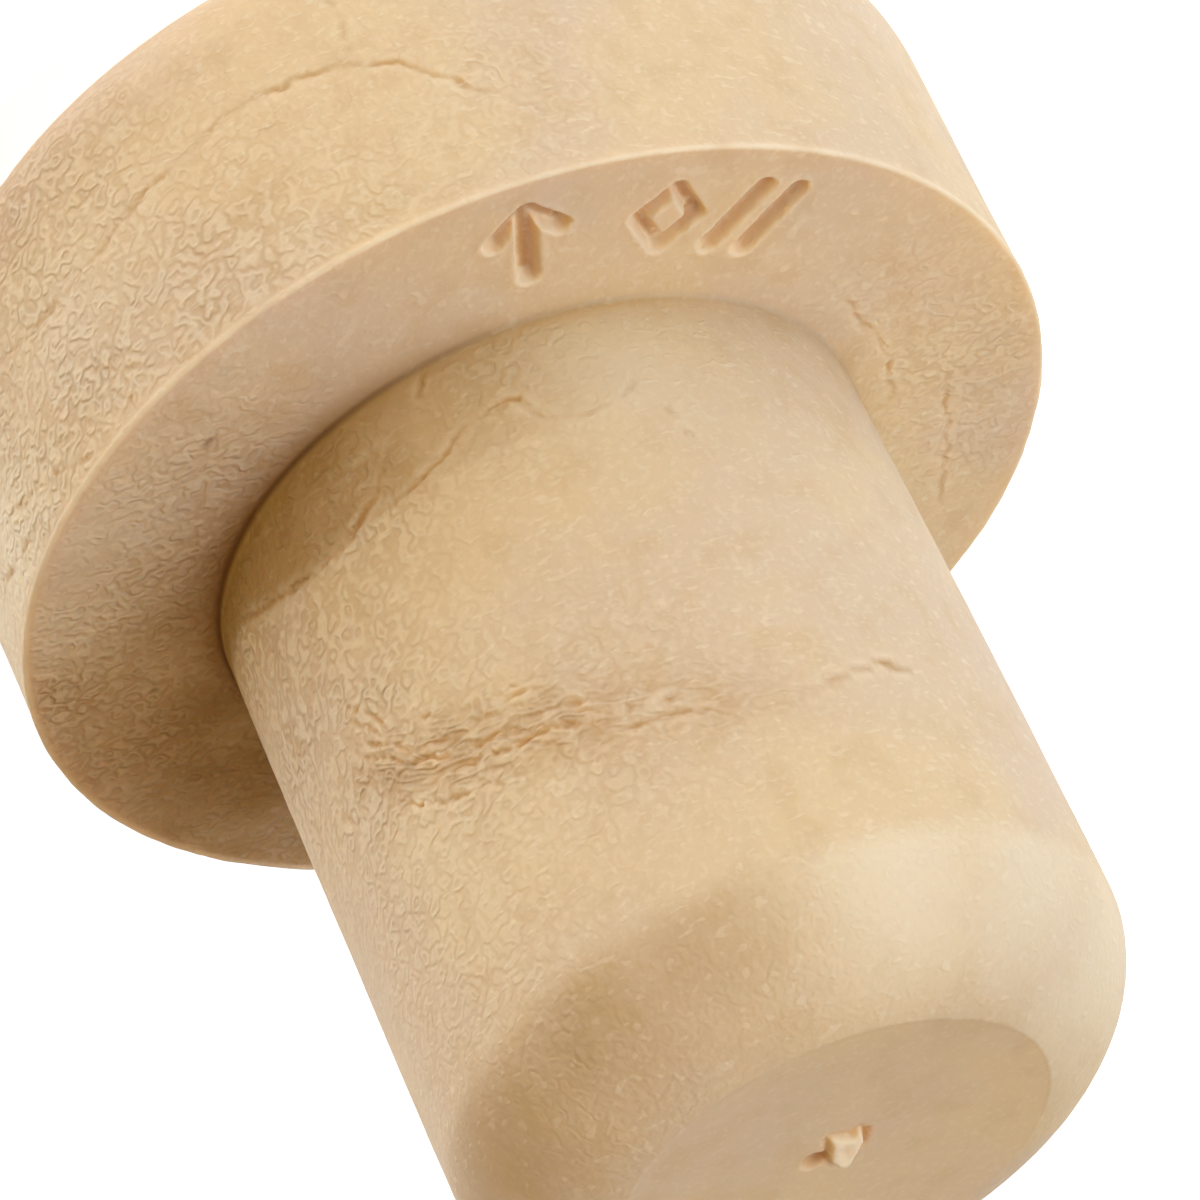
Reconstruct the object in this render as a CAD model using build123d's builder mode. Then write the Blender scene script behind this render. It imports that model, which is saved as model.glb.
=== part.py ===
from build123d import *
import math
import os

os.makedirs("parts", exist_ok=True)

# Synthetic bar-top stopper, moulded in one piece from foamed thermoplastic
# elastomer: a wide head for the fingers and a shank that seals in a bottle neck.
# Millimetres. It stands on the flat top of its head at z = 0, shank up (+Z).

# head
head_r_top = 15.17      # widest, where the rounded rim meets the side
head_r_edge = 15.00     # at the flange's outer edge
head_h = 11.40          # flat top to flange
rim_r = 3.20            # rounding between flat top and side
edge_break = 0.12       # break on the flange's outer edge

# shank
shank_r = 9.42          # seals in an 18.5 mm bottle bore
shank_len = 17.94       # flange to where the shoulder starts
root_r = 0.12           # fillet between flange and shank

# shoulder and end face
total_h = 32.82         # flat top to the end face's rim
shoulder_in = 3.85      # how far the shoulder comes in, radially
shoulder_up = 3.51      # height the shoulder's curve would reach
shoulder_exp = 1.80     # below 2 is flatter than an ellipse
face_dish = 0.12        # hollow of the end face at its centre

# recessed marks on the flange: arrow, lozenge and a pair of slanting bars
mark_r = 12.50          # radius of the marks' centres
mark_w = 0.66           # stroke width
mark_depth = 0.45
arrow_deg = -103.0
lozenge_deg = -121.0
bars_deg = -133.0

# gate vestige on the end face: a torn nub, with a pit beside it
nub_outline = [
    (-0.06, -1.05),
    (-0.57, -0.71),
    (-0.84, -0.81),
    (-0.84, -0.38),
    (-0.54, 0.00),
    (-0.16, 0.48),
    (0.05, 0.39),
    (0.19, -0.06),
    (0.05, -0.52),
]
nub_h = 0.25
pit_at = (0.55, -0.25)
pit_r = 0.36
pit_depth = 0.30


def shoulder_point(t):
    c = math.cos(t) ** (2 / shoulder_exp)
    s = math.sin(t) ** (2 / shoulder_exp)
    return (
        shank_r - shoulder_in + shoulder_in * c,
        head_h + shank_len + shoulder_up * s,
    )


# the shoulder's curve is cut off where it meets the end face
t_end = math.asin(((total_h - head_h - shank_len) / shoulder_up) ** (shoulder_exp / 2))
shoulder = [shoulder_point(t_end * i / 12) for i in range(13)]
p, q = shoulder_point(t_end - 0.001), shoulder_point(t_end)
end_slope = (q[0] - p[0], q[1] - p[1])
face_r = shoulder[-1][0]


def on_flange(deg):
    """Plane on the flange at a mark: x along the flange, y outwards."""
    a = math.radians(deg)
    return Plane(
        origin=(mark_r * math.cos(a), mark_r * math.sin(a), head_h),
        x_dir=(math.sin(a), -math.cos(a), 0),
        z_dir=(0, 0, 1),
    )


with BuildPart() as stopper_body:
    # half section, turned about Z
    with BuildSketch(Plane.XZ):
        with BuildLine():
            Line((0, 0), (head_r_top - rim_r, 0))
            RadiusArc((head_r_top - rim_r, 0), (head_r_top, rim_r), -rim_r)
            Line((head_r_top, rim_r), (head_r_edge, head_h))
            Line((head_r_edge, head_h), (shank_r, head_h))
            Line((shank_r, head_h), (shank_r, head_h + shank_len))
            Spline(*shoulder, tangents=[(0, 1), end_slope])
            ThreePointArc(
                (face_r, total_h),
                (face_r / 2, total_h - 0.75 * face_dish),
                (0, total_h - face_dish),
            )
            Line((0, total_h - face_dish), (0, 0))
        make_face()
    revolve(axis=Axis.Z)

    # the flange's outer edge and the shank's root
    flange_edges = (
        stopper_body.edges()
        .filter_by(GeomType.CIRCLE)
        .filter_by_position(Axis.Z, head_h - 0.01, head_h + 0.01)
        .sort_by(SortBy.RADIUS)
    )
    fillet(flange_edges[-1], edge_break)
    root_edge = (
        stopper_body.edges()
        .filter_by(GeomType.CIRCLE)
        .filter_by_position(Axis.Z, head_h - 0.01, head_h + 0.01)
        .sort_by(SortBy.RADIUS)[0]
    )
    fillet(root_edge, root_r)

    # recessed arrow, its point outwards
    with BuildSketch(on_flange(arrow_deg)) as arrow:
        with BuildLine():
            Line((0, -1.50), (0, 1.15))
        trace(line_width=mark_w)
        with BuildLine():
            Polyline((-1.05, 0.30), (0, 1.30), (1.05, 0.30))
        trace(line_width=mark_w)
    extrude(amount=-mark_depth, mode=Mode.SUBTRACT)

    # recessed lozenge, open in the middle
    with BuildSketch(on_flange(lozenge_deg)) as lozenge:
        with BuildLine():
            Polyline((0, 1.50), (1.20, 0), (0, -1.50), (-1.20, 0), close=True)
        make_face()
        with BuildLine():
            Polyline((0, 0.62), (0.50, 0), (0, -0.62), (-0.50, 0), close=True)
        make_face(mode=Mode.SUBTRACT)
    extrude(amount=-mark_depth, mode=Mode.SUBTRACT)

    # recessed pair of slanting bars
    with BuildSketch(on_flange(bars_deg)) as bars:
        for x in (-0.55, 0.55):
            with BuildLine():
                Line((x - 0.35, -1.40), (x + 0.35, 1.40))
            trace(line_width=mark_w)
    extrude(amount=-mark_depth, mode=Mode.SUBTRACT)

    # gate vestige
    with BuildSketch(Plane.XY.offset(total_h - face_dish - 0.3)):
        with BuildLine():
            Polyline(*nub_outline, close=True)
        make_face()
    extrude(amount=0.3 + nub_h)
    with BuildSketch(Plane.XY.offset(total_h - face_dish)):
        with Locations(pit_at):
            Circle(pit_r)
    extrude(amount=-pit_depth, mode=Mode.SUBTRACT)

stopper_body.part.label = "stopper_body"
export_step(stopper_body.part, "parts/stopper_body.step")
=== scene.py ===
import math

import bpy
import numpy as np
from mathutils import Matrix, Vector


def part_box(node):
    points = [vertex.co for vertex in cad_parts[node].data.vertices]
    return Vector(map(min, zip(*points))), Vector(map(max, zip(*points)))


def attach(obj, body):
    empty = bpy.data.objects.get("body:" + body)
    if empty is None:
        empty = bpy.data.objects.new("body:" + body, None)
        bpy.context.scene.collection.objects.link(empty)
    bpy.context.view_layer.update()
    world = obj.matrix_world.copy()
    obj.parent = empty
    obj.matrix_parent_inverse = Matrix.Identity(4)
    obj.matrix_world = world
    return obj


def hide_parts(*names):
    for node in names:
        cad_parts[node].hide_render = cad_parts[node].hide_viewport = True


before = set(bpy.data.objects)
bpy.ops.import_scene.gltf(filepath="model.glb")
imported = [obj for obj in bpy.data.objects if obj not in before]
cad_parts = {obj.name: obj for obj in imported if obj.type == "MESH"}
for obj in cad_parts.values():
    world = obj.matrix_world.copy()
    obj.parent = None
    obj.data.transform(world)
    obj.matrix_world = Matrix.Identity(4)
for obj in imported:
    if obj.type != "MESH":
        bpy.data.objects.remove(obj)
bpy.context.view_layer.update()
lo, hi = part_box("stopper_body")
TOP = hi.z * 1000.0          # mm, highest point of the CAD solid (its gate nub)

# ---------------------------------------------------------------- section
# Half section of the stopper in mm, (r, z), from the centre of the head's
# flat top up to the centre of the end face.
R_TOP, R_EDGE, HEAD, RIM = 15.17, 15.00, 11.40, 3.20
EDGE_R, ROOT_R = 0.12, 0.12
L1, A_SH, B_SH, EX = 17.94, 3.85, 3.51, 1.80
FACE_Z, DISH = 32.82, 0.12


def shank_radius(z):
    x = np.clip((z - HEAD) / L1, 0, 1)
    return 9.446 - 0.068 * x + 0.034 * 4 * x * (1 - x)


def section():
    """Dense points of the half section, with named stations."""
    pts, marks = [], {}

    def add(r, z):
        pts.append((r, z))

    for r in np.linspace(0, R_TOP - RIM, 240):
        add(r, 0.0)
    marks["rim0"] = len(pts) - 1
    for t in np.linspace(0, math.pi / 2, 120)[1:]:
        add(R_TOP - RIM + RIM * math.sin(t), RIM - RIM * math.cos(t))
    marks["rim1"] = len(pts) - 1
    for f in np.linspace(0, 1, 200)[1:]:
        z = RIM + f * (HEAD - EDGE_R - RIM)
        add(R_TOP - (R_TOP - R_EDGE) * (z - RIM) / (HEAD - RIM), z)
    marks["edge0"] = len(pts) - 1
    for t in np.linspace(0, math.pi / 2, 16)[1:]:
        add(R_EDGE - EDGE_R + EDGE_R * math.cos(t), HEAD - EDGE_R + EDGE_R * math.sin(t))
    marks["edge1"] = len(pts) - 1
    r_root = float(shank_radius(HEAD))
    for r in np.linspace(R_EDGE - EDGE_R, r_root + ROOT_R, 140)[1:]:
        add(r, HEAD)
    marks["root0"] = len(pts) - 1
    for t in np.linspace(0, math.pi / 2, 16)[1:]:
        add(r_root + ROOT_R - ROOT_R * math.sin(t), HEAD + ROOT_R - ROOT_R * math.cos(t))
    marks["root1"] = len(pts) - 1
    for z in np.linspace(HEAD + ROOT_R, HEAD + L1, 400)[1:]:
        add(float(shank_radius(z)), z)
    marks["shoulder"] = len(pts) - 1
    r1 = float(shank_radius(HEAD + L1))
    t_end = math.asin(((FACE_Z - HEAD - L1) / B_SH) ** (EX / 2))
    for t in np.linspace(0, 1, 160)[1:]:
        t = t_end * t
        add(r1 - A_SH + A_SH * math.cos(t) ** (2 / EX), HEAD + L1 + B_SH * math.sin(t) ** (2 / EX))
    marks["face"] = len(pts) - 1
    rf = pts[-1][0]
    for r in np.linspace(rf, 0, 140)[1:]:
        add(r, FACE_Z - DISH * (1 - (r / rf) ** 2))
    pts = np.array(pts)
    s = np.r_[0, np.cumsum(np.hypot(*np.diff(pts, axis=0).T))]
    return pts, s, {k: float(s[i]) for k, i in marks.items()}


SEC, SEC_S, ST = section()


def smooth(x, a, b):
    t = np.clip((x - a) / (b - a), 0, 1)
    return t * t * (3 - 2 * t)


def base(s, ph):
    """Smooth body: point and outward normal at station s and angle ph."""
    r, z = np.interp(s, SEC_S, SEC[:, 0]), np.interp(s, SEC_S, SEC[:, 1])
    e = 0.02
    dr = np.interp(s + e, SEC_S, SEC[:, 0]) - np.interp(s - e, SEC_S, SEC[:, 0])
    dz = np.interp(s + e, SEC_S, SEC[:, 1]) - np.interp(s - e, SEC_S, SEC[:, 1])
    n = np.hypot(dr, dz) + 1e-12
    nr, nz = dz / n, -dr / n
    c, q = np.cos(ph), np.sin(ph)
    return np.c_[r * c, r * q, z], np.c_[nr * c, nr * q, nz]


# ---------------------------------------------------------------- noise
def noise3(p, seed):
    """Gradient noise, about -1 to 1, one value for each row of p."""
    rs = np.random.RandomState(seed)
    perm = rs.permutation(256)
    perm = np.r_[perm, perm]
    g = rs.normal(size=(256, 3))
    g /= np.linalg.norm(g, axis=1)[:, None]
    i = np.floor(p).astype(int)
    f = p - i
    i &= 255
    u = f * f * f * (f * (f * 6 - 15) + 10)
    out = 0.0
    for dx in (0, 1):
        for dy in (0, 1):
            for dz in (0, 1):
                h = perm[perm[perm[(i[:, 0] + dx) & 255] + ((i[:, 1] + dy) & 255)] + ((i[:, 2] + dz) & 255)]
                d = f - np.array([dx, dy, dz])
                w = (
                    (u[:, 0] if dx else 1 - u[:, 0])
                    * (u[:, 1] if dy else 1 - u[:, 1])
                    * (u[:, 2] if dz else 1 - u[:, 2])
                )
                out = out + w * np.einsum("ij,ij->i", g[h], d)
    return out * 1.5


def fbm(p, f, seed, octaves=3):
    out, amp, tot = 0.0, 1.0, 0.0
    for k in range(octaves):
        out = out + amp * noise3(p * f * 2**k, seed + k)
        tot += amp
        amp *= 0.5
    return out / tot


# ---------------------------------------------------------------- features
# Lines on the surface, as (degrees round the axis, z) on the head's side and
# the shank, or (degrees, radius) on the flange.
SIDE_CREASES = [
    # line, width, depth
    ([(-30, 5.2), (-42.2, 5.91), (-48.8, 6.47), (-58.7, 6.51), (-68.1, 6.01), (-71.0, 5.82), (-77.1, 5.56),
      (-81.9, 5.4), (-88.0, 5.63), (-93.1, 5.84), (-96.8, 6.42), (-99.9, 7.32), (-102.8, 8.11), (-107.5, 9.1),
      (-110.6, 9.7)], 0.13, 0.075),
    ([(-93.1, 5.84), (-93.4, 4.76), (-93.5, 3.77), (-92.2, 2.4)], 0.12, 0.06),
    ([(-32, 9.2), (-36, 9.5), (-39.9, 9.81), (-44.0, 10.38), (-49.5, 10.98)], 0.12, 0.08),
    ([(-21.0, 9.38), (-30.6, 10.28), (-38.7, 10.72)], 0.12, 0.07),
    ([(-59.0, 9.8), (-58.5, 10.34), (-57.3, 10.81), (-57.1, 11.2)], 0.10, 0.07),
    ([(-67.2, 10.14), (-66.1, 10.35), (-66.4, 10.55)], 0.10, 0.05),
    # the side turned away from the marks
    ([(38, 8.4), (50, 7.2), (63, 6.9), (78, 7.8), (90, 7.5), (104, 5.9), (118, 5.6)], 0.13, 0.07),
    ([(78, 7.8), (82, 9.2), (84, 10.6)], 0.12, 0.05),
    ([(150, 4.6), (163, 5.4), (176, 5.2), (188, 6.3)], 0.12, 0.06),
]
SHANK_CREASES = [
    ([(-26.9, 12.89), (-38.2, 13.81), (-48.8, 14.51), (-57.0, 14.7), (-63.1, 14.55), (-67.8, 14.18), (-72.0, 13.53)], 0.13, 0.09),
    ([(-60.5, 12.72), (-67.6, 12.97), (-73.7, 12.87)], 0.10, 0.05),
    ([(-65.2, 14.72), (-71.3, 14.64), (-77.3, 14.49), (-82.0, 14.22), (-86.2, 13.78), (-89.8, 13.75), (-94.6, 13.52),
      (-96.4, 14.23), (-99.9, 14.79)], 0.11, 0.095),
    ([(-79.9, 12.33), (-83.8, 11.33 + 0.2)], 0.10, 0.05),
    ([(-99.9, 14.79), (-103.6, 14.9), (-106.5, 14.76), (-108.8, 14.75), (-114.1, 14.31)], 0.10, 0.075),
    ([(-117.5, 15.18), (-117.7, 16.03), (-119.2, 16.56)], 0.10, 0.06),
    ([(40, 13.2), (52, 13.9), (66, 13.7), (80, 14.6), (92, 14.3)], 0.12, 0.08),
    ([(128, 14.1), (139, 13.5), (152, 13.9)], 0.11, 0.06),
]
FOLDS = [
    ([(-46.2, 18.18), (-48.9, 18.91), (-51.9, 19.59), (-53.1, 20.07)], 0.10, 0.085),
    ([(-57.0, 21.2), (-61.7, 21.52), (-63.4, 21.96), (-65.4, 22.27), (-68.4, 22.41), (-71.3, 22.53), (-74.5, 22.68)], 0.11, 0.12),
    ([(-64.1, 21.93), (-67.3, 21.82), (-70.0, 21.82), (-73.9, 21.93), (-77.6, 21.87), (-79.3, 21.99)], 0.10, 0.11),
    ([(-43.7, 19.79), (-46.6, 20.07), (-49.6, 20.58), (-51.2, 20.99), (-54.3, 21.37), (-57.0, 21.61), (-58.5, 21.94),
      (-61.3, 22.07), (-63.8, 22.31)], 0.10, 0.11),
    ([(-51.6, 21.11), (-53.9, 21.69), (-56.9, 22.03), (-59.0, 22.19)], 0.09, 0.09),
    ([(-50.4, 21.4), (-53.9, 21.9), (-56.9, 22.24), (-60.2, 22.42), (-63.4, 22.58), (-66.5, 22.69), (-69.3, 22.87),
      (-72.2, 22.98), (-74.6, 23.04), (-77.7, 23.18), (-81.1, 23.19), (-83.6, 23.51), (-87.0, 24.01)], 0.11, 0.12),
    ([(-50.3, 21.65), (-53.3, 22.05), (-56.3, 22.4), (-58.2, 22.43)], 0.09, 0.09),
    ([(-54.7, 22.67), (-57.1, 22.98), (-59.1, 23.16), (-61.3, 23.26), (-63.4, 23.35), (-65.2, 23.53), (-68.3, 23.82)], 0.10, 0.08),
    ([(-49.5, 22.07), (-52.0, 22.41), (-54.4, 22.76)], 0.09, 0.09),
    ([(-33.5, 20.52), (-37.9, 21.01), (-41.8, 21.44)], 0.09, 0.06),
    ([(-47.1, 19.75), (-50.4, 20.19), (-53.0, 20.72), (-55.2, 21.11), (-57.8, 21.36)], 0.10, 0.10),
    ([(-77.2, 22.6), (-79.3, 22.74), (-81.6, 22.81), (-84.1, 22.93), (-86.0, 23.0)], 0.11, 0.09),
    ([(-83.1, 23.14), (-84.9, 23.37), (-86.5, 23.62), (-88.3, 23.85)], 0.10, 0.07),
    ([(-86.0, 24.23), (-87.9, 24.36), (-90.6, 24.39), (-92.8, 24.41), (-95.7, 24.48), (-98.6, 24.53), (-102.9, 24.75)], 0.11, 0.06),
    ([(-69.8, 21.89), (-72.6, 22.03), (-74.4, 22.14), (-76.5, 22.29)], 0.09, 0.09),
    ([(-46.4, 18.88), (-48.4, 19.44), (-51.7, 20.05)], 0.09, 0.07),
    ([(-58.0, 20.49), (-59.9, 20.61), (-61.6, 20.65)], 0.09, 0.06),
    ([(-89.8, 23.58), (-92.9, 23.81), (-95.6, 23.95), (-99.2, 24.1)], 0.10, 0.05),
    ([(-74.1, 21.49), (-76.8, 21.62), (-79.0, 21.7)], 0.09, 0.06),
    ([(-79.7, 23.92), (-82.4, 23.99), (-84.2, 24.21)], 0.10, 0.05),
    ([(-114.1, 25.08), (-121.6, 24.76), (-129.7, 24.28), (-138.8, 24.27)], 0.12, 0.04),
    # fold lines round the back of the shank
    ([(46, 21.6), (52, 22.0), (59, 21.8), (68, 22.4), (77, 22.3)], 0.11, 0.10),
    ([(50, 22.5), (58, 22.4), (66, 22.9), (76, 23.1), (88, 22.9)], 0.11, 0.10),
    ([(55, 20.9), (63, 21.2), (71, 21.5)], 0.10, 0.07),
]
FLANGE_CREASES = [
    ([(-158.0, 10.83), (-161.7, 10.76), (-164.9, 10.6), (-172.0, 10.67), (-176.0, 10.62), (-182.5, 10.48), (-189.1, 10.38)], 0.11, 0.085),
    ([(174.9, 12.17), (168.0, 12.07), (162.8, 12.16), (155.5, 12.33), (151.1, 12.5), (144.6, 13.05)], 0.11, 0.085),
]

# soft blobs where the skin is finely wrinkled: centre (kind, degrees, z or r), size in mm, strength
WRINKLED = [
    ("side", -53, 4.4, 4.2, 0.9),
    ("side", -55, 9.0, 2.8, 1.0),
    ("side", -38, 9.9, 4.2, 1.0),
    ("side", -72, 9.9, 3.6, 0.75),
    ("side", -84, 10.4, 2.6, 0.5),
    ("side", -104, 8.6, 3.0, 0.25),
    ("side", 60, 9.0, 4.0, 0.8),
    ("side", 150, 7.0, 4.5, 0.6),
    ("shank", -30, 13.5, 4.2, 0.9),
    ("shank", -45, 16.6, 3.6, 0.85),
    ("shank", -44, 19.4, 3.6, 0.9),
    ("shank", -62, 20.4, 2.6, 0.55),
    ("shank", -56, 13.6, 3.4, 0.9),
    ("shank", -92, 12.6, 3.0, 0.4),
    ("shank", -40, 24.5, 3.0, 0.45),
    ("shank", 70, 19.0, 5.0, 0.7),
    ("shank", 140, 24.0, 4.5, 0.5),
    ("flange", -24, 12.2, 3.2, 0.75),
    ("flange", -8, 12.3, 3.6, 0.85),
    ("flange", 8, 13.0, 3.4, 0.8),
    ("flange", -44, 12.6, 2.6, 0.45),
    ("flange", 176, 12.6, 3.0, 0.40),
    ("flange", -166, 12.2, 2.6, 0.30),
    ("flange", 160, 12.8, 2.8, 0.25),
    ("flange", -12, 13.4, 3.0, 1.0),
    ("flange", 6, 12.4, 3.2, 1.0),
    ("flange", -30, 11.2, 2.4, 0.8),
    ("flange", -50, 12.0, 3.0, 0.55),
    ("flange", 24, 11.6, 3.2, 0.9),
    ("flange", 44, 12.6, 3.6, 0.85),
    ("flange", 0, 10.8, 2.4, 0.8),
    ("side", -28, 6.4, 4.4, 1.0),
    ("side", -18, 3.8, 4.0, 0.9),
    ("shank", -34, 17.0, 4.0, 0.9),
    ("shank", -60, 22.3, 3.4, 0.7),
    ("shank", -84, 23.4, 3.2, 0.45),
    ("shank", -50, 27.0, 3.6, 0.4),
    ("shoulder", -56, 30.0, 3.6, 0.26),
    ("shoulder", -96, 30.2, 3.6, 0.15),
    ("shoulder", -140, 30.6, 3.6, 0.10),
]
SPECKS = [("flange", -56.2, 12.36, 0.16), ("flange", -54.6, 12.10, 0.10), ("flange", -4.9, 11.7, 0.13),
          ("side", -70.9, 7.9, 0.08), ("flange", 12.0, 13.2, 0.10), ("shank", -22.0, 27.3, 0.10),
          ("side", 71.0, 8.4, 0.11), ("shank", 101.0, 25.0, 0.12)]

# broad tints: kind, degrees, z or radius, size in mm, painted shade, painted light
TINTS = [
    ("flange", 26, 11.8, 3.2, 0.95, 0.0),
    ("flange", 6, 10.4, 1.9, 0.75, 0.0),
    ("flange", -20, 10.0, 1.2, 0.5, 0.0),
    ("flange", 50, 12.5, 4.0, 0.9, 0.0),
    ("flange", 34, 14.9, 2.2, 0.8, 0.0),
    ("flange", 24, 14.3, 1.8, 0.7, 0.0),
    ("flange", 95, 12.5, 4.0, 0.5, 0.0),
    ("flange", -24, 14.0, 2.4, 0.0, 0.6),
    ("flange", -40, 13.2, 2.4, 0.0, 0.5),
    ("side", -30, 9.8, 3.2, 0.0, 0.9),
    ("side", -20, 8.8, 3.0, 0.0, 0.8),
    ("side", -53, 7.2, 3.0, 0.0, 0.35),
    ("side", -142, 8.0, 6.0, 0.13, 0.0),
    ("side", 120, 6.0, 6.0, 0.15, 0.0),
    ("shank", -112, 12.9, 2.6, 0.0, 0.6),
    ("shank", -52, 23.8, 4.0, 0.0, 0.25),
    ("shank", -152, 25.0, 6.0, 0.08, 0.0),
    ("shank", 60, 22.0, 6.0, 0.15, 0.0),
    ("shoulder", -62, 30.3, 2.8, 0.42, 0.0),
    ("shoulder", -36, 30.9, 2.8, 0.40, 0.0),
    ("shoulder", -86, 30.5, 2.4, 0.36, 0.0),
    ("shoulder", 60, 30.6, 4.0, 0.25, 0.0),
    ("shoulder", -118, 30.7, 3.0, 0.0, 0.7),
    ("shoulder", -146, 31.0, 3.0, 0.0, 0.6),
    ("shoulder", -174, 31.9, 3.4, 0.0, 0.7),
]

# recessed marks: (degrees, list of strokes (x0, y0, x1, y1)), strokes 0.66 mm wide
MARK_R, MARK_W, MARK_D = 12.50, 0.66, 0.43
GLYPHS = [
    (-103.0, 0.33, [(0, -1.25, 0, 1.15), (-0.92, 0.40, 0, 1.30), (0, 1.30, 0.92, 0.40)]),
    (-121.0, 0.274, [(0, 1.061, 0.849, 0), (0.849, 0, 0, -1.061), (0, -1.061, -0.849, 0), (-0.849, 0, 0, 1.061)]),
    (-133.0, 0.33, [(-0.84, -1.10, -0.26, 1.10), (0.26, -1.10, 0.84, 1.10)]),
]
CHIP = [(-0.063, -1.048), (-0.568, -0.709), (-0.838, -0.812), (-0.843, -0.377), (-0.544, 0.005), (-0.163, 0.482),
        (0.054, 0.388), (0.193, -0.061), (0.053, -0.522)]
NOTCH = [(-1.015, -0.63), (-0.892, -0.327), (-0.72, 0.014)]
PIT = (0.55, -0.25, 0.36)


def on_surface(kind, deg, v):
    """(s, angle) of a point stated as degrees and z or radius."""
    if kind == "flange":
        m = (SEC_S >= ST["edge1"]) & (SEC_S <= ST["root0"])
        s = np.interp(-v, -SEC[m, 0], SEC_S[m])
    elif kind == "side":
        m = (SEC_S >= ST["rim0"]) & (SEC_S <= ST["edge0"])
        s = np.interp(v, SEC[m, 1], SEC_S[m])
    else:
        m = (SEC_S >= ST["root1"]) & (SEC_S <= ST["face"])
        s = np.interp(v, SEC[m, 1], SEC_S[m])
    return float(s), math.radians(deg)


def line_points(kind, pts, step=0.04):
    """The line's points on the smooth body, closely spaced, eased through its corners."""
    q = np.array([on_surface(kind, d, v) for d, v in pts])
    q[:, 1] = np.unwrap(q[:, 1])
    for _ in range(2):  # corner cutting
        a, b = q[:-1], q[1:]
        q = np.r_[q[:1], np.stack([0.75 * a + 0.25 * b, 0.25 * a + 0.75 * b], 1).reshape(-1, 2), q[-1:]]
    p, _ = base(q[:, 0], q[:, 1])
    d = np.r_[0, np.cumsum(np.linalg.norm(np.diff(p, axis=0), axis=1))]
    n = max(int(d[-1] / step), 4)
    t = np.linspace(0, d[-1], n)
    s, ph = np.interp(t, d, q[:, 0]), np.interp(t, d, q[:, 1])
    p, _ = base(s, ph)
    return p, t / d[-1]


def seg_dist(x, y, x0, y0, x1, y1):
    dx, dy = x1 - x0, y1 - y0
    t = np.clip(((x - x0) * dx + (y - y0) * dy) / (dx * dx + dy * dy), 0, 1)
    return np.hypot(x - x0 - t * dx, y - y0 - t * dy)


def glyph_distance(p):
    """Signed distance in mm to the marks' outlines, on the flange, negative inside."""
    out = np.full(len(p), 9.0)
    for deg, half, strokes in GLYPHS:
        a = math.radians(deg)
        c, s = math.cos(a), math.sin(a)
        dx, dy = p[:, 0] - MARK_R * c, p[:, 1] - MARK_R * s
        x, y = dx * s - dy * c, dx * c + dy * s
        for g in strokes:
            out = np.minimum(out, seg_dist(x, y, *g) - half)
    return out


def poly_distance(x, y, poly):
    """Signed distance to a closed polygon, negative inside."""
    d = np.full(len(x), 9.0)
    inside = np.zeros(len(x), bool)
    for (x0, y0), (x1, y1) in zip(poly, poly[1:] + poly[:1]):
        d = np.minimum(d, seg_dist(x, y, x0, y0, x1, y1))
        with np.errstate(divide="ignore", invalid="ignore"):
            cross = ((y0 > y) != (y1 > y)) & (x < (x1 - x0) * (y - y0) / (y1 - y0 + 1e-12) + x0)
        inside ^= cross
    return np.where(inside, -d, d)


# ---------------------------------------------------------------- mesh
def front(ph, a=-0.12, b=0.12):
    return smooth(-np.sin(ph), a, b)


def spacing(s, ph):
    """Wanted edge length in mm at a station and angle."""
    w = front(ph)
    out = np.full(np.shape(ph), 0.9)
    if s < ST["rim0"]:
        return out * (0.6 + 0.4 * (ST["rim0"] - s) / ST["rim0"])
    if s < ST["rim1"]:
        return 0.42 + (0.26 - 0.42) * w
    if s < ST["edge0"] - 0.4:
        return 0.38 + (0.195 - 0.38) * w
    if s < ST["root0"]:
        hidden = smooth(np.sin(ph), 0.55, 0.8)
        return 0.19 + 0.19 * hidden
    if s < ST["shoulder"]:
        return 0.38 + (0.215 - 0.38) * w
    if s < ST["face"]:
        return 0.32 + (0.185 - 0.32) * w
    return np.full(np.shape(ph), 0.24)


def stations():
    """Ring stations: fine where the section turns tightly."""
    out = [0.0]
    fine = [ST["edge0"], ST["edge1"], ST["root0"], ST["root1"], ST["face"]]
    stops = sorted([ST["rim0"], ST["rim1"], ST["shoulder"], SEC_S[-1]] + fine)
    a = 0.0
    for b in stops:
        x = a
        run = []
        while x < b:
            h = float(np.min(spacing((x + b) / 2 if b - x < 0.4 else x + 0.05, np.array([-math.pi / 2]))))
            near = min(abs(x - f) for f in fine)
            h = min(h, 0.06 + 0.4 * near)
            if ST["edge0"] - 1e-6 <= x < ST["edge1"]:
                h = 0.045
            if ST["root0"] - 1e-6 <= x < ST["root1"]:
                h = 0.06
            x += h
            run.append(x)
        if run:
            k = (b - a) / (run[-1] - a)
            out += [a + (q - a) * k for q in run]
        a = b
    return np.array(out)


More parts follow.
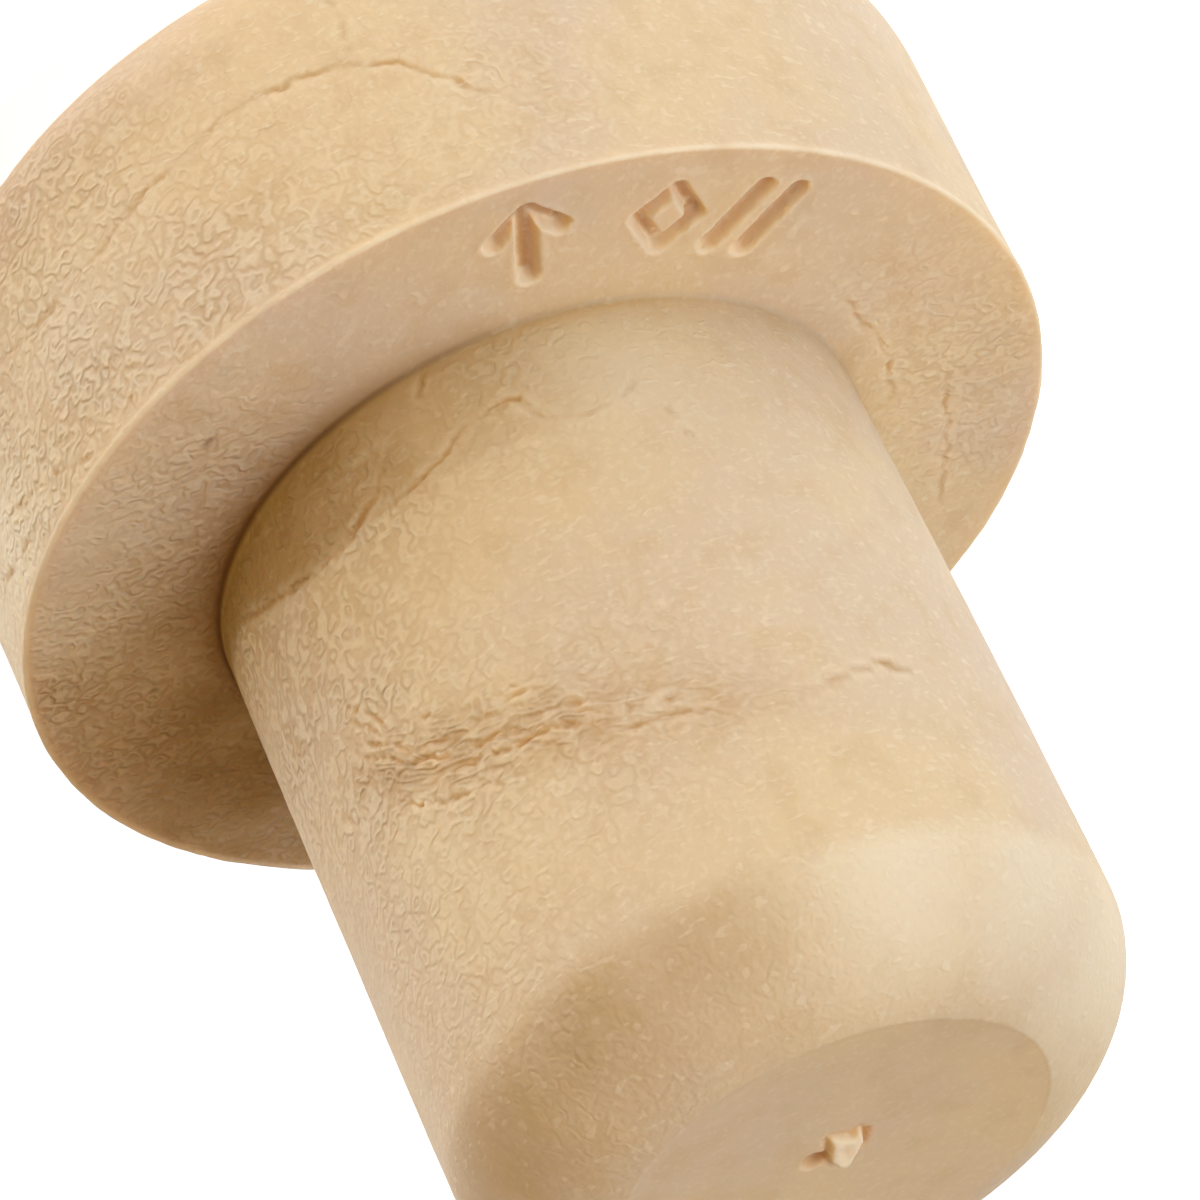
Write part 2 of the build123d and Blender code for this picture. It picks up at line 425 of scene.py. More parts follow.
def build_mesh():
    ring_s = stations()
    V, rings, n = [], [], 0
    for k, s in enumerate(ring_s[1:-1]):
        r = float(np.interp(s, SEC_S, SEC[:, 0]))
        g = np.linspace(0, 2 * math.pi, 1441)
        h = spacing(s, g)
        dens = r / h
        cum = np.r_[0, np.cumsum((dens[1:] + dens[:-1]) / 2 * np.diff(g))]
        m = max(6, int(round(cum[-1])))
        t = (np.arange(m) + (0.5 if k % 2 else 0.0)) / m * cum[-1]
        ph = np.interp(t, cum, g)
        V.append(np.c_[np.full(m, s), ph])
        rings.append((n, ph))
        n += m
    V.append(np.array([[0.0, 0.0], [SEC_S[-1], 0.0]]))
    bottom, top = n, n + 1
    V = np.vstack(V)
    F = []
    for (na, pa), (nb, pb) in zip(rings[:-1], rings[1:]):
        la, lb = len(pa), len(pb)
        A = np.r_[pa, pa[0] + 2 * math.pi]
        B = np.r_[pb, pb[0] + 2 * math.pi]
        i = j = 0
        while i < la or j < lb:
            if j >= lb or (i < la and A[i + 1] - A[0] * 0 <= B[j + 1] and i < la):
                F.append((na + i % la, na + (i + 1) % la, nb + j % lb))
                i += 1
            else:
                F.append((na + i % la, nb + (j + 1) % lb, nb + j % lb))
                j += 1
    n0, p0 = rings[0]
    for i in range(len(p0)):
        F.append((bottom, n0 + (i + 1) % len(p0), n0 + i))
    n1, p1 = rings[-1]
    for i in range(len(p1)):
        F.append((top, n1 + i, n1 + (i + 1) % len(p1)))
    return V, np.array(F)


def refine(V, F, want):
    """Halve every triangle that asks for it, and close up round them."""
    P, _ = base(V[:, 0], V[:, 1])
    c = P[F].mean(1)
    size = np.linalg.norm(P[F[:, 0]] - P[F[:, 1]], axis=1)
    size = np.maximum(size, np.linalg.norm(P[F[:, 1]] - P[F[:, 2]], axis=1))
    red = want(c, size)
    E = np.sort(np.stack([F[:, [0, 1]], F[:, [1, 2]], F[:, [2, 0]]], 1), axis=2)
    key = E[:, :, 0] * (len(V) + 1) + E[:, :, 1]
    for _ in range(20):
        cut = np.isin(key, np.unique(key[red]))
        more = (cut.sum(1) >= 2) & ~red
        if not more.any():
            break
        red |= more
    keys = np.unique(key[red])
    cut = np.isin(key, keys)
    a, b = keys // (len(V) + 1), keys % (len(V) + 1)
    # a middle point in station and angle, taking the short way round
    dphi = (V[b, 1] - V[a, 1] + math.pi) % (2 * math.pi) - math.pi
    mid = np.c_[(V[a, 0] + V[b, 0]) / 2, V[a, 1] + dphi / 2]
    pole = (V[a, 0] <= 0) | (V[a, 0] >= SEC_S[-1])
    mid[pole, 1] = V[b[pole], 1]
    pole = (V[b, 0] <= 0) | (V[b, 0] >= SEC_S[-1])
    mid[pole, 1] = V[a[pole], 1]
    num = len(V) + np.searchsorted(keys, key)
    out = [F[~cut.any(1)]]
    f, m = F[red], num[red]
    out += [np.c_[f[:, 0], m[:, 0], m[:, 2]], np.c_[m[:, 0], f[:, 1], m[:, 1]],
            np.c_[m[:, 2], m[:, 1], f[:, 2]], m]
    for e in range(3):
        q = ~red & cut[:, e]
        f, k = F[q], num[q, e]
        i, j, o = f[:, e], f[:, (e + 1) % 3], f[:, (e + 2) % 3]
        out += [np.c_[i, k, o], np.c_[k, j, o]]
    return np.vstack([V, mid]), np.vstack(out)


LINES = (
    [(*line_points("side", p), w, d, 0.55) for p, w, d in SIDE_CREASES]
    + [(*line_points("shank", p), w, d, 0.8) for p, w, d in SHANK_CREASES]
    + [(*line_points("shank", p), w, d, 1.0) for p, w, d in FOLDS]
    + [(*line_points("flange", p), w, d, 0.6) for p, w, d in FLANGE_CREASES]
)
LINES = [(p, t, w * 0.66, d * (0.8 if o < 0.9 else 1.0), o) for p, t, w, d, o in LINES]
DEEP = np.vstack([p[::3] for p, t, w, d, o in LINES if d >= 0.056])


def wander(p):
    """Shifts points a little, so that the drawn lines wander as creases do."""
    a = np.c_[noise3(p * 1.3, 201), noise3(p * 1.3, 202), noise3(p * 1.3, 203)]
    b = np.c_[noise3(p * 3.6, 204), noise3(p * 3.6, 205), noise3(p * 3.6, 206)]
    return p + 0.16 * a + 0.07 * b


def near_lines(c, reach):
    c = wander(c)
    out = np.zeros(len(c), bool)
    lo_, hi_ = DEEP.min(0) - reach, DEEP.max(0) + reach
    idx = np.where(((c > lo_) & (c < hi_)).all(1))[0]
    for k in range(0, len(idx), 4000):
        j = idx[k:k + 4000]
        d2 = ((c[j, None, :] - DEEP[None]) ** 2).sum(2).min(1)
        out[j] = d2 < reach * reach
    return out


def want_1(c, size):
    onf = np.abs(c[:, 2] - HEAD) < 0.02
    g = glyph_distance(c)
    fine = onf & (g < 0.28) & (size > 0.11)
    gate = (c[:, 2] > FACE_Z - 0.3) & (np.hypot(c[:, 0], c[:, 1]) < 1.5) & (size > 0.12)
    return fine | gate | (near_lines(c, 0.16) & (size > 0.13))


def want_2(c, size):
    onf = np.abs(c[:, 2] - HEAD) < 0.02
    g = glyph_distance(c)
    fine = onf & (np.abs(g + 0.04) < 0.12) & (size > 0.06)
    x, y = c[:, 0], c[:, 1]
    near = (np.abs(poly_distance(x, y, CHIP)) < 0.14) | (np.abs(np.hypot(x - PIT[0], y - PIT[1]) - PIT[2]) < 0.14)
    gate = (c[:, 2] > FACE_Z - 0.3) & near & (size > 0.07)
    return fine | gate | (near_lines(c, 0.10) & (size > 0.085))


V, F = build_mesh()
V, F = refine(V, F, want_1)
V, F = refine(V, F, want_2)
P, N = base(V[:, 0], V[:, 1])
S, PH = V[:, 0], V[:, 1]
RR, ZZ = np.hypot(P[:, 0], P[:, 1]), P[:, 2]
print("stopper mesh:", len(V), "points,", len(F), "triangles")

# ---------------------------------------------------------------- relief
on_side = smooth(S, ST["rim0"] + 0.5, ST["rim1"]) * (1 - smooth(S, ST["edge0"] - 0.25, ST["edge0"]))
on_flange = smooth(S, ST["edge1"], ST["edge1"] + 0.2) * (1 - smooth(S, ST["root0"] - 0.1, ST["root0"]))
on_shank = smooth(S, ST["root1"], ST["root1"] + 0.3) * (1 - smooth(S, ST["shoulder"] - 0.5, ST["shoulder"] + 0.5))
on_shoulder = smooth(S, ST["shoulder"] - 0.4, ST["shoulder"] + 0.6) * (1 - smooth(S, ST["face"] - 0.05, ST["face"] + 0.02))
on_face = smooth(S, ST["face"] - 0.02, ST["face"] + 0.05)
standing = smooth(ZZ, 0.0, 0.5)          # the flat top it rests on stays flat

wr = np.zeros(len(P))
for kind, deg, v, size, amp in WRINKLED:
    c, _ = base(*[np.array([q]) for q in on_surface(kind, deg, v)])
    d = np.linalg.norm(P - c, axis=1) / size
    zone = {"side": on_side, "shank": on_shank, "flange": on_flange, "shoulder": on_shoulder}[kind]
    wr = np.maximum(wr, amp * np.exp(-(d**2) * 0.9) * zone)
wr *= 0.95 + 0.7 * fbm(P, 0.5, 11, 2)
wr = np.clip(wr, 0, 1)

disp = 0.030 * fbm(P, 0.13, 21, 2) + 0.010 * fbm(P, 0.55, 31, 3)
warp = np.c_[noise3(P * 0.9, 41), noise3(P * 0.9, 42), noise3(P * 0.9, 43)] * 0.45
worm = noise3((P + warp) * 1.25, 51)
worm2 = noise3((P + warp * 0.6) * 2.0, 52)
valley = np.exp(-((worm / 0.16) ** 2))
valley2 = np.exp(-((worm2 / 0.2) ** 2))
disp += -wr * (0.046 * valley + 0.030 * valley2) + wr * 0.016
rough = 0.5 * noise3(P * 2.3, 61) + 0.5 * noise3(P * 3.1, 62)
disp += rough * (0.004 + 0.008 * wr + 0.010 * on_shoulder) * (1 - 0.9 * on_face)

# painted shade laid in the grooves, the fold hollow, the marks' floors and the gate's pit, notch and moat
valley_shade = np.zeros(len(P))
# painted highlight on the grooves' lips, the edge bead and the marks' lips, and the paler torn nub
highlight_and_pale = np.zeros(len(P))
PW = wander(P)
for p, t, w, depth, tone in LINES:
    lo_, hi_ = p.min(0) - 0.8, p.max(0) + 0.8
    idx = np.where(((P > lo_) & (P < hi_)).all(1))[0]
    if not len(idx):
        continue
    for k in range(0, len(idx), 3000):
        j = idx[k:k + 3000]
        d2 = ((PW[j, None, :] - p[None]) ** 2).sum(2)
        m = d2.argmin(1)
        d = np.sqrt(d2[np.arange(len(j)), m])
        taper = np.clip(np.minimum(t[m], 1 - t[m]) * 7, 0, 1) ** 0.6
        uneven = 0.75 + 0.75 * noise3(P[j] * 1.1, 71)
        a = taper * np.clip(uneven, 0.38, 1.4)
        cut = np.exp(-((d / w) ** 2))
        lip = np.exp(-(((d - 2.4 * w) / (1.2 * w)) ** 2))
        # painted shade along the groove and a painted highlight on its raised lip
        disp[j] += a * (-depth * cut + 0.26 * depth * lip)
        valley_shade[j] = np.maximum(valley_shade[j], tone * a * np.exp(-((d / (1.2 * w)) ** 2)))
        highlight_and_pale[j] = np.maximum(highlight_and_pale[j], 0.5 * tone * a * lip)

# the folds sit in a shallow hollow of the shank, with finer ones along it; the hollow gets painted shade
fold_deg = (np.degrees(PH) + 180) % 360 - 180
fold_z = np.interp(fold_deg, [-125, -115, -95, -75, -57, -45, -30, 40, 80], [25.0, 24.9, 24.1, 22.9, 21.9, 20.6, 19.5, 21.4, 22.6])
along = np.interp(fold_deg, [-128, -108, -92, -76, -60, -50, -38, 35, 50, 76, 95], [0, 0.30, 0.55, 0.95, 1.0, 0.85, 0, 0, 0.8, 0.8, 0])
along = along * np.exp(-(((ZZ - fold_z) / 1.15) ** 2)) * on_shank
disp -= 0.05 * along
valley_shade = np.maximum(valley_shade, 0.44 * along * (0.8 + 0.6 * fbm(P, 0.8, 141, 2)))

# flash bead along the flange's outer edge
edge_d = np.abs(S - (ST["edge0"] + ST["edge1"]) / 2)
bead_n = fbm(np.c_[np.cos(PH) * 15, np.sin(PH) * 15, 0 * PH], 0.8, 81, 3)
bead = np.exp(-((edge_d / 0.075) ** 2))
disp += bead * (0.052 + 0.045 * bead_n)
# a painted highlight along the bead
highlight_and_pale = np.maximum(highlight_and_pale, bead * np.clip(0.8 + 0.7 * bead_n, 0.2, 1))

# recessed marks with soft raised lips
g = glyph_distance(P) + 0.03 * noise3(P * 2.2, 91) + 0.012 * noise3(P * 5.0, 92)
flat = (S > ST["edge1"]) & (S < ST["root0"])
cut = np.where(flat, 1 - smooth(g, -0.15, 0.03), 0)
lipm = np.where(flat, np.exp(-(((g - 0.10) / 0.09) ** 2)), 0)
disp += -MARK_D * cut * (1 + 0.10 * noise3(P * 1.7, 93)) + lipm * (0.035 + 0.03 * noise3(P * 3.0, 94))
# painted shade on the marks' floors and a painted highlight round their lips
floor_m = np.where(flat, 1 - smooth(g, -0.28, -0.10), 0)
valley_shade = np.maximum(valley_shade, 0.85 * floor_m)
highlight_and_pale = np.maximum(highlight_and_pale, np.where(flat, 0.75 * np.exp(-(((g + 0.02) / 0.10) ** 2)), 0))
wr_cut = 1 - cut

# end face: crisp step at its rim, gate vestige near the middle
x, y = P[:, 0], P[:, 1]
on_top = S > ST["face"] - 0.02
d_chip = poly_distance(x, y, CHIP) + 0.03 * noise3(P * 3.3, 95)
chip = np.where(on_top, 1 - smooth(d_chip, -0.08, 0.05), 0)
d_pit = np.hypot(x - PIT[0], (y - PIT[1])) - PIT[2] + 0.04 * noise3(P * 2.1, 96)
pit = np.where(on_top, 1 - smooth(d_pit, -0.16, 0.04), 0)
d_notch = np.minimum(seg_dist(x, y, *NOTCH[0], *NOTCH[1]), seg_dist(x, y, *NOTCH[1], *NOTCH[2])) - 0.08
notch = np.where(on_top, 1 - smooth(d_notch, -0.06, 0.06), 0)
moat = np.where(on_top, np.exp(-(((d_chip - 0.09) / 0.07) ** 2)), 0)
disp += chip * (0.20 + 0.07 * noise3(P * 2.6, 97) + 0.10 * (y + 0.2)) - 0.30 * pit - 0.14 * notch - 0.07 * moat * (1 - pit)
# painted shade in the pit, the notch and the moat round the nub; the raised nub is painted paler
valley_shade = np.maximum(valley_shade, np.maximum(0.75 * pit, np.maximum(0.9 * notch, 0.55 * moat)))
highlight_and_pale = np.maximum(highlight_and_pale, chip)
valley_shade *= 1 - chip

speck_and_root_shade = np.zeros(len(P))
for kind, deg, v, size in SPECKS:
    c, _ = base(*[np.array([q]) for q in on_surface(kind, deg, v)])
    d = np.linalg.norm(P - c, axis=1) + 0.05 * noise3(P * 4, 98)
    m = 1 - smooth(d, size * 0.4, size)
    speck_and_root_shade = np.maximum(speck_and_root_shade, 0.65 * m)
    disp -= 0.04 * m

# broad tints of the skin: painted shade round the root, on the flange where the shank's shadow falls and on the
# shoulder's shaded side, with weaker darkening round the back; painted light in paler patches where light falls
painted_shade = np.zeros(len(P))
painted_light = np.zeros(len(P))
zones = {"side": on_side, "shank": on_shank, "flange": on_flange, "shoulder": on_shoulder}
for kind, deg, v, size, st, li in TINTS:
    c, _ = base(*[np.array([q]) for q in on_surface(kind, deg, v)])
    m = np.exp(-((np.linalg.norm(P - c, axis=1) / size) ** 2)) * zones[kind]
    painted_shade = np.maximum(painted_shade, st * m)
    painted_light = np.maximum(painted_light, li * m)
deg = (np.degrees(PH) + 180) % 360 - 180
# painted shadow of the flange on the shank: darker below a wavering line, strongest on the side away from the light
z_cut = np.interp(deg, [-180, -110, -100, -49, -38, -27, -10, 20, 60, 110, 180],
                  [13.2, 14.6, 14.8, 14.5, 13.8, 12.9, 12.3, 12.6, 13.8, 14.2, 13.2])
how = np.interp(deg, [-180, -125, -105, -85, -70, -50, -20, 40, 90, 150, 180],
                [0.05, 0.0, 0.10, 0.30, 0.60, 0.95, 1.0, 0.9, 0.6, 0.3, 0.05])
painted_shade = np.maximum(painted_shade, how * (1 - smooth(ZZ, z_cut - 0.2, z_cut + 0.35)) * (S > ST["root0"]) * on_shank)
# painted shade in the corner at the root: a thin dark line and a broader darkening, strongest on the side where
# shade falls
root_s = (ST["root0"] + ST["root1"]) / 2
shaded_side = np.interp(deg, [-180, -130, -100, -60, 30, 60, 130, 180], [0.30, 0.22, 0.35, 1.0, 1.0, 0.8, 0.5, 0.30])
root_shade_line = np.exp(-(((S - root_s) / 0.11) ** 2)) * shaded_side
painted_shade = np.maximum(painted_shade, 0.75 * shaded_side * np.exp(-(((S - root_s) / 0.7) ** 2)))
painted_shade = np.clip(painted_shade * (1 + 0.35 * fbm(P, 0.7, 111, 2)), 0, 1)
mottle = 0.5 + 0.9 * fbm(P, 0.16, 121, 4)
mottle2 = 0.5 + 0.9 * fbm(P + 40, 0.9, 131, 2)
speck_and_root_shade = np.maximum(speck_and_root_shade, 0.80 * root_shade_line)

disp *= np.where(S < ST["rim0"], 0.0, 1.0)
disp = np.where(S < ST["rim1"], disp * smooth(S, ST["rim0"], ST["rim0"] + 1.5), disp)
OUT = P + N * disp[:, None]
OUT[:, 2] = np.maximum(OUT[:, 2], 0.0)

mesh = bpy.data.meshes.new("stopper_skin")
mesh.vertices.add(len(OUT))
mesh.vertices.foreach_set("co", (OUT / 1000.0).astype(np.float32).ravel())
mesh.loops.add(F.size)
mesh.loops.foreach_set("vertex_index", F.astype(np.int32).ravel())
mesh.polygons.add(len(F))
mesh.polygons.foreach_set("loop_start", np.arange(0, F.size, 3, dtype=np.int32))
mesh.polygons.foreach_set("loop_total", np.full(len(F), 3, np.int32))
mesh.update(calc_edges=True)
mesh.validate()
mesh.polygons.foreach_set("use_smooth", np.ones(len(F), bool))
zone = np.clip(0.35 * on_side + 0.35 * on_flange + 0.35 * on_shank, 0, 1)
for name, val in (("wrinkle", wr * wr_cut), ("valley_shade", valley_shade), ("highlight_and_pale", highlight_and_pale), ("speck_and_root_shade", speck_and_root_shade),
                  ("shoulder", on_shoulder), ("face", on_face), ("painted_shade", painted_shade), ("painted_light", painted_light),
                  ("mottle", mottle), ("mottle2", mottle2), ("fold", along), ("fold_z", fold_z / 40)):
    att = mesh.attributes.new(name, "FLOAT", "POINT")
    att.data.foreach_set("value", np.clip(val, 0, 1).astype(np.float32))
mesh.update()
skin = bpy.data.objects.new("stopper_skin", mesh)
bpy.context.scene.collection.objects.link(skin)


# ---------------------------------------------------------------- material
def nodes_of(name):
    mat = bpy.data.materials.new(name)
    mat.use_nodes = True
    nt = mat.node_tree
    nt.nodes.clear()
    return mat, nt


class Net:
    """Short names for node making."""

    def __init__(self, nt):
        self.nt = nt

    def node(self, kind, **props):
        n = self.nt.nodes.new(kind)
        for k, v in props.items():
            setattr(n, k, v)
        return n

    def link(self, a, b):
        self.nt.links.new(a, b)

    def put(self, sock, v):
        if isinstance(v, (int, float)):
            sock.default_value = v
        elif isinstance(v, (tuple, list)):
            sock.default_value = v
        else:
            self.link(v, sock)

    def math(self, op, a, b=0.0, c=None, clamp=False):
        n = self.node("ShaderNodeMath", operation=op, use_clamp=clamp)
        self.put(n.inputs[0], a)
        self.put(n.inputs[1], b)
        if c is not None:
            self.put(n.inputs[2], c)
        return n.outputs[0]

    def ramp(self, x, a, b):
        """0 below a, 1 above b, smooth between."""
        n = self.node("ShaderNodeMapRange", interpolation_type="SMOOTHSTEP")
        self.put(n.inputs["Value"], x)
        n.inputs["From Min"].default_value = a
        n.inputs["From Max"].default_value = b
        return n.outputs["Result"]

    def noise(self, vec, scale, detail=2.0, rough=0.5, dist=0.0):
        n = self.node("ShaderNodeTexNoise")
        self.link(vec, n.inputs["Vector"])
        n.inputs["Scale"].default_value = scale
        n.inputs["Detail"].default_value = detail
        n.inputs["Roughness"].default_value = rough
        n.inputs["Distortion"].default_value = dist
        return n

    def attr(self, name):
        return self.node("ShaderNodeAttribute", attribute_name=name).outputs["Fac"]

    def mix(self, f, a, b):
        n = self.node("ShaderNodeMix", data_type="RGBA")
        self.put(n.inputs["Factor"], f)
        for sock, v in ((n.inputs[6], a), (n.inputs[7], b)):
            if isinstance(v, tuple):
                sock.default_value = (*v, 1.0)
            else:
                self.link(v, sock)
        return n.outputs[2]


def lin(r, g, b):
    """sRGB 0-255 to scene linear."""
    return tuple(((c / 255 + 0.055) / 1.055) ** 2.4 if c > 10 else c / 255 / 12.92 for c in (r, g, b))


def foam_material():
    mat, nt = nodes_of("foam_skin")
    k = Net(nt)
    coord = k.node("ShaderNodeTexCoord").outputs["Object"]
    mm = k.node("ShaderNodeVectorMath", operation="SCALE")
    k.link(coord, mm.inputs[0])
    mm.inputs["Scale"].default_value = 1000.0
    mm = mm.outputs[0]

    wrinkle, valley_shade_a, highlight_and_pale_a = k.attr("wrinkle"), k.attr("valley_shade"), k.attr("highlight_and_pale")
    speck_root_shade_a, shoulder, face = k.attr("speck_and_root_shade"), k.attr("shoulder"), k.attr("face")

    painted_shade, painted_light = k.attr("painted_shade"), k.attr("painted_light")

    # worm-like relief: the contour lines of a slow noise
    n1 = k.noise(mm, 1.9, 1.0, 0.5).outputs["Fac"]
    worm = k.math("MULTIPLY_ADD", k.math("SINE", k.math("MULTIPLY", n1, 23.0)), 0.5, 0.5)
    n2 = k.noise(mm, 4.7, 1.0, 0.6).outputs["Fac"]
    grain = k.noise(mm, 10.0, 0.0, 0.5).outputs["Fac"]

    # small pale bits standing on the skin, longer across than up
    stretch = k.node("ShaderNodeVectorMath", operation="MULTIPLY")
    k.link(mm, stretch.inputs[0])
    stretch.inputs[1].default_value = (2.8, 2.8, 6.0)
    n3 = k.noise(stretch.outputs[0], 1.0, 0.0, 0.5).outputs["Fac"]
    bit = k.math("MULTIPLY", k.ramp(n3, 0.66, 0.78), k.math("MULTIPLY_ADD", face, -0.9, 1.0))

    # fine folds that follow the bundle across the shank
    sep = k.node("ShaderNodeSeparateXYZ")
    k.link(mm, sep.inputs[0])
    com = k.node("ShaderNodeCombineXYZ")
    k.link(k.math("MULTIPLY", sep.outputs[0], 0.9), com.inputs[0])
    k.link(k.math("MULTIPLY", sep.outputs[1], 0.9), com.inputs[1])
    k.link(k.math("MULTIPLY", k.math("MULTIPLY_ADD", k.attr("fold_z"), -40.0, sep.outputs[2]), 2.0), com.inputs[2])
    n4 = k.noise(com.outputs[0], 1.0, 1.0, 0.5).outputs["Fac"]
    ply = k.math("MULTIPLY_ADD", k.math("SINE", k.math("MULTIPLY", n4, 30.0)), 0.5, 0.5)
    ply_low = k.math("MULTIPLY", k.math("SUBTRACT", 1.0, ply), k.attr("fold"))

    # colour
    col = k.mix(k.ramp(k.attr("mottle"), 0.25, 0.75), YELLOW, PINK)
    col = k.mix(k.math("MULTIPLY", k.ramp(k.attr("mottle2"), 0.45, 0.95), 0.45), col, DEEPER)
    col = k.mix(k.math("MULTIPLY", k.ramp(n2, 0.5, 0.72), 0.22), col, PALE_AND_HIGHLIGHT)
    # painted shade in the valleys of the worm relief and of the fine folds
    col = k.mix(k.math("MULTIPLY", k.math("SUBTRACT", 1.0, worm), k.math("MULTIPLY_ADD", wrinkle, 0.38, 0.02)), col, VALLEY_SHADE_COLOUR)
    col = k.mix(k.math("MULTIPLY", ply_low, 0.62), col, VALLEY_SHADE_COLOUR)
    # painted highlight on the worm relief's crests
    col = k.mix(k.math("MULTIPLY", k.math("MULTIPLY", worm, worm), k.math("MULTIPLY", wrinkle, 0.30)), col, PALE_AND_HIGHLIGHT)
    col = k.mix(k.math("MULTIPLY", shoulder, 0.10), col, DEEPER)
    col = k.mix(k.math("MULTIPLY", face, 0.10), col, DEEPER)
    # painted light: paler patches where light falls
    col = k.mix(painted_light, col, PALE_AND_HIGHLIGHT)
    # painted shade: round the root, in cast shadows and on the shoulder's shaded side
    col = k.mix(painted_shade, col, PAINTED_SHADE_COLOUR)
    # painted shade in grooves, recesses and the fold hollow
    col = k.mix(k.math("MULTIPLY", valley_shade_a, 0.85, clamp=True), col, VALLEY_SHADE_COLOUR)
    # painted highlight on lips and the edge bead, together with the whitish flecks and the paler torn nub
    col = k.mix(k.math("MULTIPLY", k.math("MAXIMUM", highlight_and_pale_a, k.math("MULTIPLY", bit, k.math("MULTIPLY_ADD", painted_shade, -0.24, 0.36))), 0.8, clamp=True), col, PALE_AND_HIGHLIGHT)
    # real brown specks, and a painted shade line along the root
    col = k.mix(speck_root_shade_a, col, SPECK_AND_ROOT_SHADE)

    # relief finer than the mesh
    amp = k.math("MULTIPLY", k.math("MULTIPLY_ADD", wrinkle, 1.0, 0.10), k.math("MULTIPLY_ADD", face, -0.9, 1.0))
    h = k.math("MULTIPLY", worm, k.math("MULTIPLY", amp, 0.062))
    h = k.math("MULTIPLY_ADD", ply_low, -0.060, h)
    soft = k.math("MULTIPLY_ADD", face, -0.8, k.math("MULTIPLY_ADD", shoulder, 0.45, k.math("MULTIPLY_ADD", wrinkle, 0.9, 1.0)))
    h = k.math("MULTIPLY_ADD", n2, k.math("MULTIPLY", soft, 0.014), h)
    h = k.math("MULTIPLY_ADD", grain, k.math("MULTIPLY", soft, 0.004), h)
    h = k.math("MULTIPLY_ADD", bit, 0.012, h)
    bump = k.node("ShaderNodeBump")
    bump.inputs["Strength"].default_value = 1.0
    bump.inputs["Distance"].default_value = 0.001
    k.link(h, bump.inputs["Height"])

    bsdf = k.node("ShaderNodeBsdfPrincipled", subsurface_method="BURLEY")
    k.link(col, bsdf.inputs["Base Color"])
    k.link(bump.outputs[0], bsdf.inputs["Normal"])
    rg = k.math("MULTIPLY_ADD", n2, 0.25, 0.42)
    k.link(rg, bsdf.inputs["Roughness"])
    bsdf.inputs["IOR"].default_value = 1.45
    bsdf.inputs["Specular IOR Level"].default_value = 0.35
    bsdf.inputs["Subsurface Weight"].default_value = 0.6
    bsdf.inputs["Subsurface Radius"].default_value = (1.0, 0.55, 0.28)
    bsdf.inputs["Subsurface Scale"].default_value = 0.0007
    out = k.node("ShaderNodeOutputMaterial")
    k.link(bsdf.outputs[0], out.inputs[0])
    return mat


YELLOW = lin(228, 202, 163)
PINK = lin(222, 198, 170)
DEEPER = lin(214, 184, 142)
VALLEY_SHADE_COLOUR = lin(178, 128, 68)
PALE_AND_HIGHLIGHT = lin(243, 228, 203)
SPECK_AND_ROOT_SHADE = lin(104, 62, 30)
PAINTED_SHADE_COLOUR = (0.46, 0.28, 0.108)
skin.data.materials.append(foam_material())
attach(skin, "root")
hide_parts("stopper_body")

# ---------------------------------------------------------------- stage
floor_mesh = bpy.data.meshes.new("floor")
w = 1.2
floor_mesh.from_pydata([(-w, -w, 0), (w, -w, 0), (w, w, 0), (-w, w, 0)], [], [(0, 1, 2, 3)])
floor = bpy.data.objects.new("floor", floor_mesh)
bpy.context.scene.collection.objects.link(floor)
fmat, fnt = nodes_of("floor_paper")
fb = fnt.nodes.new("ShaderNodeBsdfPrincipled")
fb.inputs["Base Color"].default_value = (0.93, 0.93, 0.925, 1)
fb.inputs["Roughness"].default_value = 0.9
fb.inputs["Specular IOR Level"].default_value = 0.1
fb.inputs["Emission Color"].default_value = (0.85, 0.90, 1.0, 1)
fb.inputs["Emission Strength"].default_value = 0.70
fo = fnt.nodes.new("ShaderNodeOutputMaterial")
fnt.links.new(fb.outputs[0], fo.inputs[0])
floor.data.materials.append(fmat)

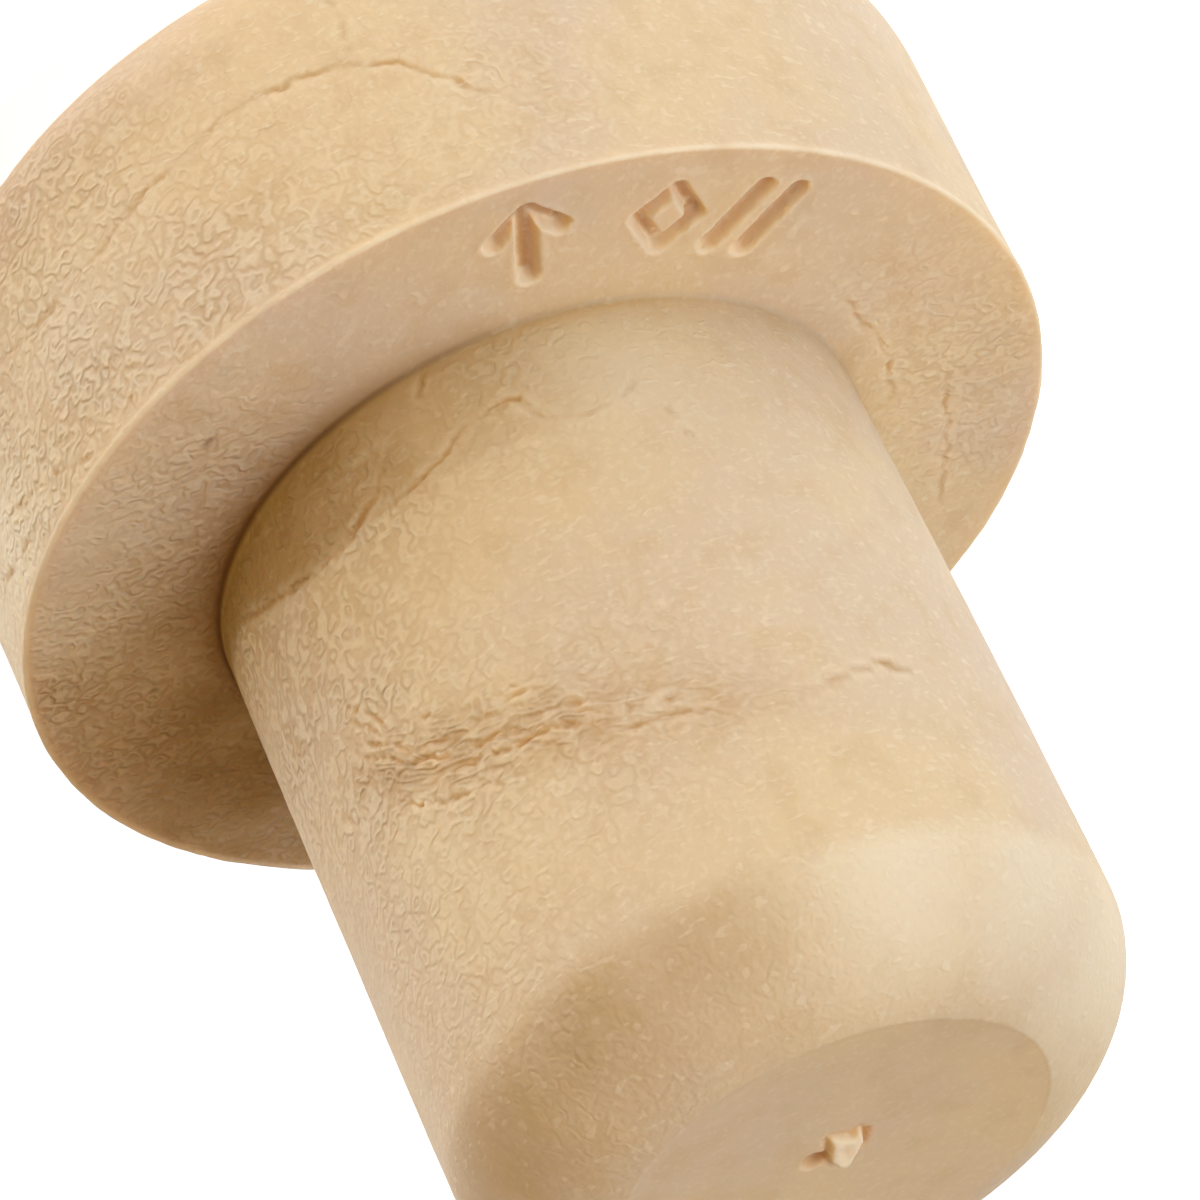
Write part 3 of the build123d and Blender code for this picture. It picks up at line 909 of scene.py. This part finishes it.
# ---------------------------------------------------------------- camera
cam_data = bpy.data.cameras.new("camera")
cam_data.sensor_fit = "HORIZONTAL"
cam_data.sensor_width = 36.0
cam_data.lens = 161.392
cam_data.clip_start = 0.01
cam_data.clip_end = 10.0
cam = bpy.data.objects.new("camera", cam_data)
bpy.context.scene.collection.objects.link(cam)
cam.matrix_world = Matrix((
    (-0.9048384, -0.42575518, 0.0, -0.000595229),
    (0.23467433, -0.49874282, -0.83437615, -0.123023469),
    (0.35523997, -0.75497558, 0.55119547, 0.095527083),
    (0, 0, 0, 1),
))
bpy.context.scene.camera = cam

# ---------------------------------------------------------------- light
def softbox(name, azimuth, elevation, rgb, spread=40.0):
    """A distant softbox: degrees round from +X, degrees up, its light as linear r, g, b."""
    a, e = math.radians(azimuth), math.radians(elevation)
    z = np.array([math.cos(e) * math.cos(a), math.cos(e) * math.sin(a), math.sin(e)])
    data = bpy.data.lights.new(name, "SUN")
    data.angle = math.radians(spread)
    data.energy = max(rgb)
    data.color = tuple(c / max(rgb) for c in rgb)
    o = bpy.data.objects.new(name, data)
    bpy.context.scene.collection.objects.link(o)
    up = np.array([0, 0, 1.0]) if z[2] < 0.95 else np.array([0, 1.0, 0])
    x = np.cross(up, z)
    x /= np.linalg.norm(x)
    m = np.eye(4)
    m[:3, 0], m[:3, 1], m[:3, 2], m[:3, 3] = x, np.cross(z, x), z, z * 0.5
    o.matrix_world = Matrix(m.tolist())
    return o


def lights():
    softbox("key", 225, 30, (0.74, 0.745, 0.655))
    softbox("top", 180, 58, (1.44, 1.59, 1.67))
    softbox("fill", 315, 8, (0.92, 0.67, 0.16))
    softbox("back", 90, 58, (0.39, 0.36, 0.21))
    softbox("over", 0, 90, (0.26, 0.03, 0.01))


lights()
world = bpy.data.worlds.new("studio")
world.use_nodes = True
bg = world.node_tree.nodes.get("Background") or world.node_tree.nodes.new("ShaderNodeBackground")
bg.inputs["Color"].default_value = (1, 1, 1, 1)
bg.inputs["Strength"].default_value = 0.02
if not world.node_tree.nodes.get("World Output"):
    wo = world.node_tree.nodes.new("ShaderNodeOutputWorld")
    world.node_tree.links.new(bg.outputs[0], wo.inputs[0])
bpy.context.scene.world = world
bpy.context.scene.view_settings.view_transform = "Standard"
